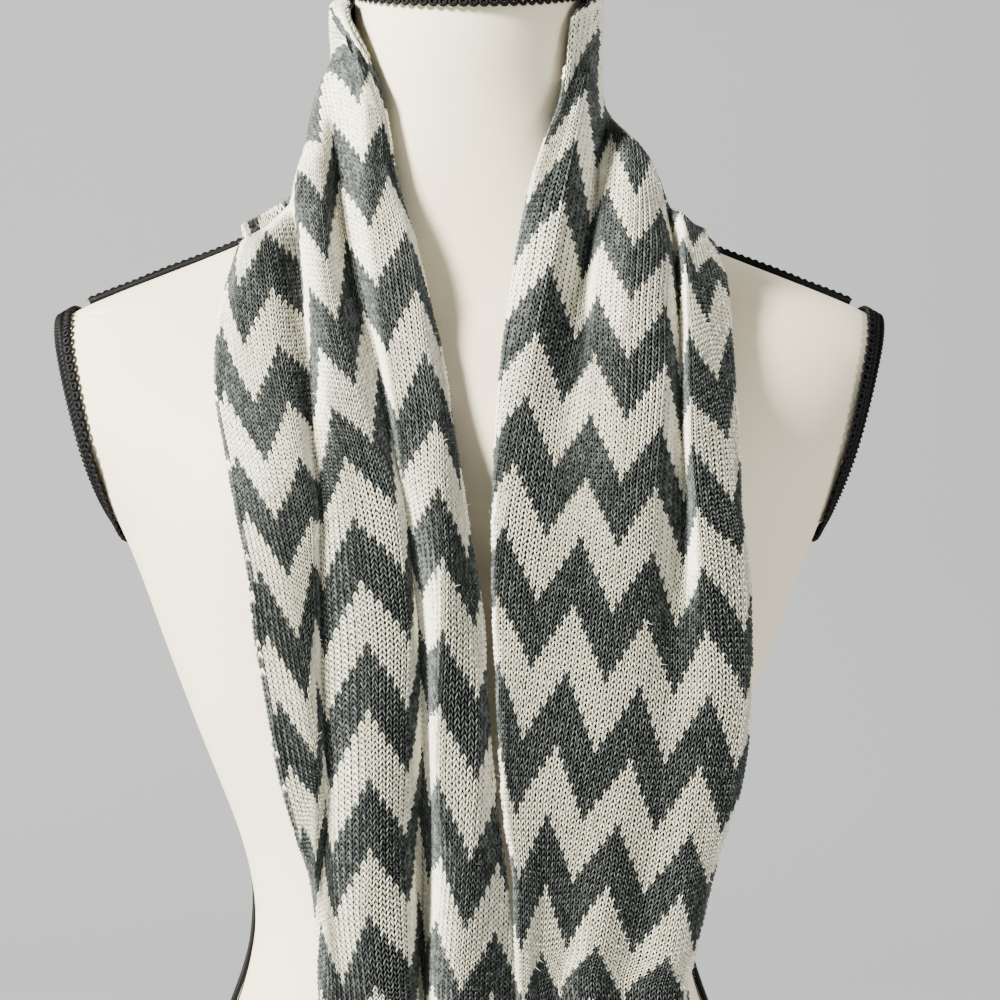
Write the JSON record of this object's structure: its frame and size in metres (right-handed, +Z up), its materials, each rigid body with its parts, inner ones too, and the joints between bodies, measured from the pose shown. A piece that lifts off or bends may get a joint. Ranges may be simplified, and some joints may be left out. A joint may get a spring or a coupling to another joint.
{
  "type": "infinity scarf on a dress form",
  "caption": "Endless knitted infinity scarf in a two-colour chevron, hung as one long loop round the neck of a limbless cloth-covered dress form.",
  "frame": {"origin": "middle of the dress form's flat underside, on the table", "axes": "+Z up, the form's front faces -Y, +X to a viewer's right who looks at the front"},
  "size_m": [0.4094, 0.2483, 0.749],
  "materials": {
    "cover": "fine warm-white twill, stretched smooth",
    "black_braid": "black gimp braid with a soft lustre",
    "knit": "soft stockinette, heathered slate grey and cream"
  },
  "bodies": {
    "root": {"form_torso": "cover", "form_neck_cap": "cover", "form_arm_plate_left": "cover", "form_arm_plate_right": "cover", "braid_neck": "black_braid", "braid_arm_left": "black_braid", "braid_arm_right": "black_braid", "braid_shoulder_left": "black_braid", "braid_shoulder_right": "black_braid", "ribbon_side_left": "black_braid", "ribbon_side_right": "black_braid", "scarf_left_fall": "knit", "scarf_lower_turn": "knit", "scarf_right_fall": "knit", "scarf_neck_wrap": "knit"}
  },
  "joints": []
}
